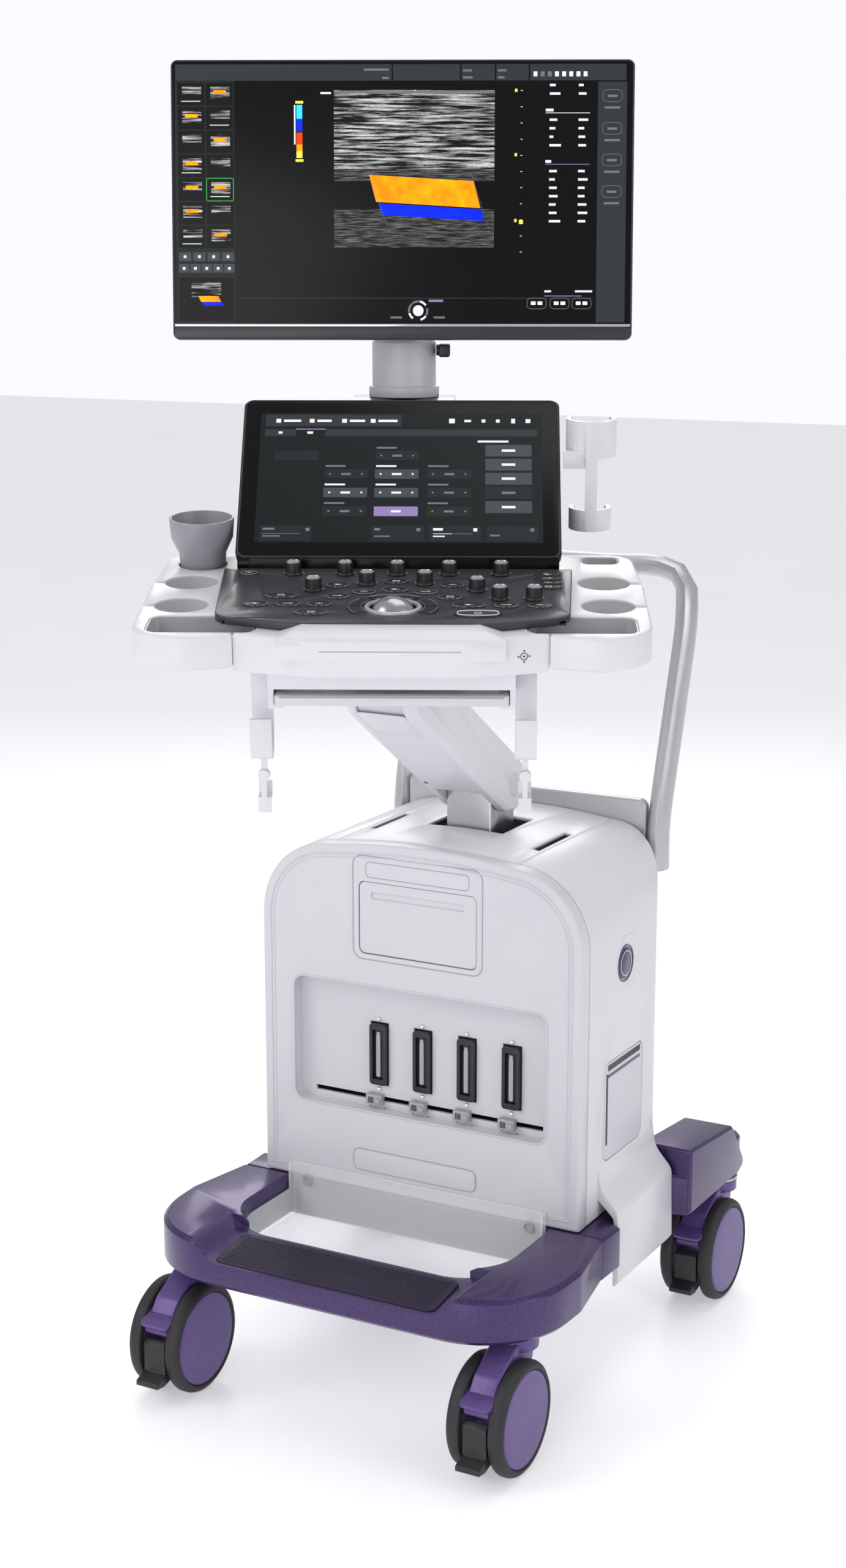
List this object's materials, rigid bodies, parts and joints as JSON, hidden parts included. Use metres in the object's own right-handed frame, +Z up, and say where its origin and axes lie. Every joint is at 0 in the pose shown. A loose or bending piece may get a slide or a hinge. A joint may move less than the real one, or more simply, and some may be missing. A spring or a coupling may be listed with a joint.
{
  "type": "ultrasound machine",
  "caption": "Cart-based ultrasound machine with lift-arm console, touch panel, tilting monitor, probe ports and braked casters.",
  "frame": {"origin": "on the floor under the centre of the bounding box at rest", "axes": "+Z up, the front of the cart faces -Y, +X is its right side seen from the front"},
  "size_m": [0.6354, 0.8614, 1.4596],
  "materials": {
    "white_cover": "satin",
    "light_grey": "satin",
    "silver_handle": "satin painted",
    "charcoal_deck": "satin metallic",
    "black_glass": "polished glass front",
    "black_plastic": "moulded",
    "purple_paint": "metallic purple paint",
    "purple_plastic": "metallic purple",
    "rubber_tyre": "rubber",
    "clear_acrylic": "clear moulded",
    "steel": "satin",
    "arm_metal": "white painted",
    "electronics": "packed electronics",
    "board": "moulded"
  },
  "bodies": {
    "chassis": {"base_frame": "purple_paint", "front_bumper": "purple_plastic", "clear_tray": "clear_acrylic", "front_cover": "light_grey", "option_cover": "light_grey", "probe_connector_board": "board", "side_cover_left": "white_cover", "side_cover_right": "white_cover", "filter_door": "light_grey", "top_cover": "white_cover", "rear_cover": "light_grey", "electronics_cage": "electronics", "rear_handle": "silver_handle", "arm_base": "steel"},
    "lift_arm": {"lift_arm": "arm_metal"},
    "arm_head": {"arm_head": "arm_metal"},
    "console": {"console_tray": "white_cover", "holder_wing_left": "white_cover", "holder_wing_right": "white_cover", "console_deck": "charcoal_deck", "key_mat": "black_plastic", "touch_panel": "black_glass", "gel_cup": "light_grey", "tall_probe_holder": "white_cover", "hook_bracket_left": "white_cover", "hook_bracket_right": "white_cover"},
    "monitor_neck": {"monitor_neck": "light_grey"},
    "monitor": {"monitor": "black_glass"},
    "monitor_lock_lever": {"monitor_lock_lever": "black_plastic"},
    "keyboard_tray": {"keyboard_tray": "light_grey"},
    "trackball": {"trackball": "light_grey"},
    "cable_hook_left": {"cable_hook_left": "white_cover"},
    "cable_hook_right": {"cable_hook_right": "white_cover"},
    "port_lock_1": {"port_lock_1": "light_grey"},
    "port_lock_2": {"port_lock_2": "light_grey"},
    "port_lock_3": {"port_lock_3": "light_grey"},
    "port_lock_4": {"port_lock_4": "light_grey"},
    "caster_yoke_front_left": {"caster_yoke_front_left": "purple_plastic"},
    "caster_wheels_front_left": {"caster_wheels_front_left": "rubber_tyre"},
    "caster_pedal_front_left": {"caster_pedal_front_left": "black_plastic"},
    "caster_yoke_front_right": {"caster_yoke_front_right": "purple_plastic"},
    "caster_wheels_front_right": {"caster_wheels_front_right": "rubber_tyre"},
    "caster_pedal_front_right": {"caster_pedal_front_right": "black_plastic"},
    "caster_yoke_rear_left": {"caster_yoke_rear_left": "purple_plastic"},
    "caster_wheels_rear_left": {"caster_wheels_rear_left": "rubber_tyre"},
    "caster_pedal_rear_left": {"caster_pedal_rear_left": "black_plastic"},
    "caster_yoke_rear_right": {"caster_yoke_rear_right": "purple_plastic"},
    "caster_wheels_rear_right": {"caster_wheels_rear_right": "rubber_tyre"},
    "caster_pedal_rear_right": {"caster_pedal_rear_right": "black_plastic"},
    "knob_1": {"knob_1": "black_plastic"},
    "knob_2": {"knob_2": "black_plastic"},
    "knob_3": {"knob_3": "black_plastic"},
    "knob_4": {"knob_4": "black_plastic"},
    "knob_5": {"knob_5": "black_plastic"},
    "knob_6": {"knob_6": "black_plastic"},
    "knob_7": {"knob_7": "black_plastic"},
    "knob_8": {"knob_8": "black_plastic"},
    "knob_9": {"knob_9": "black_plastic"},
    "knob_10": {"knob_10": "black_plastic"},
    "knob_11": {"knob_11": "black_plastic"}
  },
  "joints": [
    {"name": "arm_lift", "type": "hinge", "parent": "chassis", "child": "lift_arm", "pos_m": [-0.05872, 0.18968, 0.662], "axis": [-1, 0, 0], "range_deg": [-28, 31]},
    {"name": "arm_level", "type": "hinge", "parent": "lift_arm", "child": "arm_head", "pos_m": [-0.05872, -0.02022, 0.80146], "axis": [1, 0, 0], "range_deg": [-28, 31]},
    {"name": "console_swivel", "type": "hinge", "parent": "arm_head", "child": "console", "pos_m": [-0.05872, 0.00378, 0.89746], "axis": [0, 0, 1], "range_deg": [-72.4, 17.6]},
    {"name": "monitor_swivel", "type": "hinge", "parent": "console", "child": "monitor_neck", "pos_m": [-0.08726, 0.05882, 1.11196], "axis": [0, 0, 1], "range_deg": [-90, 90]},
    {"name": "monitor_tilt", "type": "hinge", "parent": "monitor_neck", "child": "monitor", "pos_m": [-0.08726, 0.05882, 1.28746], "axis": [-0.8878, -0.4602, 0], "range_deg": [-5, 20]},
    {"name": "keyboard_slide", "type": "slide", "parent": "console", "child": "keyboard_tray", "axis": [0.4568, -0.8812, -0.1219], "range_m": [0, 0.14]},
    {"name": "lock_lever_turn", "type": "hinge", "parent": "monitor_neck", "child": "monitor_lock_lever", "pos_m": [-0.05167, 0.06601, 1.16196], "axis": [0.8878, 0.4602, 0], "range_deg": [-20, 20]},
    {"name": "cable_hook_left_swing", "type": "hinge", "parent": "console", "child": "cable_hook_left", "pos_m": [-0.04655, -0.29785, 0.76438], "axis": [-0.4568, 0.8812, 0.1219], "range_deg": [-30, 30]},
    {"name": "cable_hook_right_swing", "type": "hinge", "parent": "console", "child": "cable_hook_right", "pos_m": [0.18073, -0.18004, 0.76438], "axis": [-0.4568, 0.8812, 0.1219], "range_deg": [-30, 30]},
    {"name": "port_lock_1_slide", "type": "slide", "parent": "chassis", "child": "port_lock_1", "axis": [1, 0, 0], "range_m": [0, 0.014]},
    {"name": "port_lock_2_slide", "type": "slide", "parent": "chassis", "child": "port_lock_2", "axis": [1, 0, 0], "range_m": [0, 0.014]},
    {"name": "port_lock_3_slide", "type": "slide", "parent": "chassis", "child": "port_lock_3", "axis": [1, 0, 0], "range_m": [0, 0.014]},
    {"name": "port_lock_4_slide", "type": "slide", "parent": "chassis", "child": "port_lock_4", "axis": [1, 0, 0], "range_m": [0, 0.014]},
    {"name": "caster_swivel_front_left", "type": "hinge", "parent": "chassis", "child": "caster_yoke_front_left", "pos_m": [-0.26072, -0.11532, 0.145], "axis": [0, 0, 1], "continuous": true},
    {"name": "caster_roll_front_left", "type": "hinge", "parent": "caster_yoke_front_left", "child": "caster_wheels_front_left", "pos_m": [-0.26072, -0.15232, 0.0625], "axis": [1, 0, 0], "continuous": true},
    {"name": "caster_pedal_press_front_left", "type": "hinge", "parent": "caster_yoke_front_left", "child": "caster_pedal_front_left", "pos_m": [-0.26072, -0.19733, 0.074], "axis": [1, 0, 0], "range_deg": [0, 6]},
    {"name": "caster_swivel_front_right", "type": "hinge", "parent": "chassis", "child": "caster_yoke_front_right", "pos_m": [0.14328, -0.11532, 0.145], "axis": [0, 0, 1], "continuous": true},
    {"name": "caster_roll_front_right", "type": "hinge", "parent": "caster_yoke_front_right", "child": "caster_wheels_front_right", "pos_m": [0.14328, -0.15232, 0.0625], "axis": [1, 0, 0], "continuous": true},
    {"name": "caster_pedal_press_front_right", "type": "hinge", "parent": "caster_yoke_front_right", "child": "caster_pedal_front_right", "pos_m": [0.14328, -0.19733, 0.074], "axis": [1, 0, 0], "range_deg": [0, 6]},
    {"name": "caster_swivel_rear_left", "type": "hinge", "parent": "chassis", "child": "caster_yoke_rear_left", "pos_m": [-0.28373, 0.39968, 0.145], "axis": [0, 0, 1], "continuous": true},
    {"name": "caster_roll_rear_left", "type": "hinge", "parent": "caster_yoke_rear_left", "child": "caster_wheels_rear_left", "pos_m": [-0.28373, 0.36268, 0.0625], "axis": [1, 0, 0], "continuous": true},
    {"name": "caster_pedal_press_rear_left", "type": "hinge", "parent": "caster_yoke_rear_left", "child": "caster_pedal_rear_left", "pos_m": [-0.28373, 0.31767, 0.074], "axis": [1, 0, 0], "range_deg": [0, 6]},
    {"name": "caster_swivel_rear_right", "type": "hinge", "parent": "chassis", "child": "caster_yoke_rear_right", "pos_m": [0.16628, 0.39968, 0.145], "axis": [0, 0, 1], "continuous": true},
    {"name": "caster_roll_rear_right", "type": "hinge", "parent": "caster_yoke_rear_right", "child": "caster_wheels_rear_right", "pos_m": [0.16628, 0.36268, 0.0625], "axis": [1, 0, 0], "continuous": true},
    {"name": "caster_pedal_press_rear_right", "type": "hinge", "parent": "caster_yoke_rear_right", "child": "caster_pedal_rear_right", "pos_m": [0.16628, 0.31767, 0.074], "axis": [1, 0, 0], "range_deg": [0, 6]},
    {"name": "trackball_roll", "type": "hinge", "parent": "console", "child": "trackball", "pos_m": [0.08191, -0.26754, 0.92415], "axis": [0.8878, 0.4602, 0], "continuous": true},
    {"name": "knob_1_turn", "type": "hinge", "parent": "console", "child": "knob_1", "pos_m": [-0.06668, -0.20687, 0.95014], "axis": [0.0561, -0.1082, 0.9925], "continuous": true},
    {"name": "knob_2_turn", "type": "hinge", "parent": "console", "child": "knob_2", "pos_m": [-0.02051, -0.18294, 0.95014], "axis": [0.0561, -0.1082, 0.9925], "continuous": true},
    {"name": "knob_3_turn", "type": "hinge", "parent": "console", "child": "knob_3", "pos_m": [0.02566, -0.15901, 0.95014], "axis": [0.0561, -0.1082, 0.9925], "continuous": true},
    {"name": "knob_4_turn", "type": "hinge", "parent": "console", "child": "knob_4", "pos_m": [0.07182, -0.13508, 0.95014], "axis": [0.0561, -0.1082, 0.9925], "continuous": true},
    {"name": "knob_5_turn", "type": "hinge", "parent": "console", "child": "knob_5", "pos_m": [0.11799, -0.11115, 0.95014], "axis": [0.0561, -0.1082, 0.9925], "continuous": true},
    {"name": "knob_6_turn", "type": "hinge", "parent": "console", "child": "knob_6", "pos_m": [-0.01705, -0.25046, 0.94259], "axis": [0.0561, -0.1082, 0.9925], "continuous": true},
    {"name": "knob_7_turn", "type": "hinge", "parent": "console", "child": "knob_7", "pos_m": [0.01771, -0.20561, 0.94551], "axis": [0.0561, -0.1082, 0.9925], "continuous": true},
    {"name": "knob_8_turn", "type": "hinge", "parent": "console", "child": "knob_8", "pos_m": [0.06832, -0.17938, 0.94551], "axis": [0.0561, -0.1082, 0.9925], "continuous": true},
    {"name": "knob_9_turn", "type": "hinge", "parent": "console", "child": "knob_9", "pos_m": [0.125, -0.17683, 0.94259], "axis": [0.0561, -0.1082, 0.9925], "continuous": true},
    {"name": "knob_10_turn", "type": "hinge", "parent": "console", "child": "knob_10", "pos_m": [0.15869, -0.19402, 0.93881], "axis": [0.0561, -0.1082, 0.9925], "continuous": true},
    {"name": "knob_11_turn", "type": "hinge", "parent": "console", "child": "knob_11", "pos_m": [0.18799, -0.17883, 0.93881], "axis": [0.0561, -0.1082, 0.9925], "continuous": true}
  ],
  "couplings": [
    {"joint": "arm_level", "follows": "arm_lift", "ratio": 1}
  ]
}
